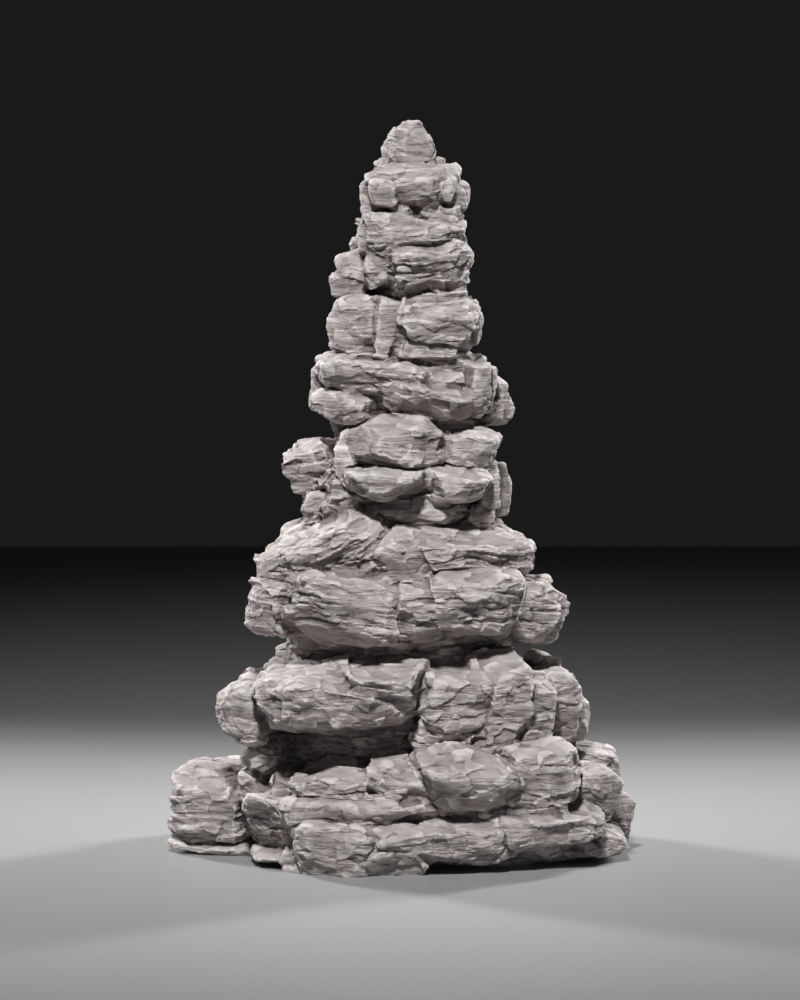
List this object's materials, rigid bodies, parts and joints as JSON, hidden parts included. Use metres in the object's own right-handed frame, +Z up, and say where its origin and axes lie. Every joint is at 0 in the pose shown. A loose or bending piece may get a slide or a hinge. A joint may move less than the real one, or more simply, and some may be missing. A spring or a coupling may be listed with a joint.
{
  "type": "stalagmite",
  "caption": "Tapering cave stalagmite of stacked, overhanging rock tiers on a wide foot, cut off flat at the base to stand on a floor.",
  "frame": {"origin": "middle of the flat base, under the middle of the bounding box", "axes": "+Z up from the flat base to the tip, -Y towards the front"},
  "size_m": [0.7832, 0.7246, 1.2],
  "materials": {
    "stone": "rough, matte, bedded cave rock"
  },
  "bodies": {
    "root": {"stalagmite": "stone"}
  },
  "joints": []
}
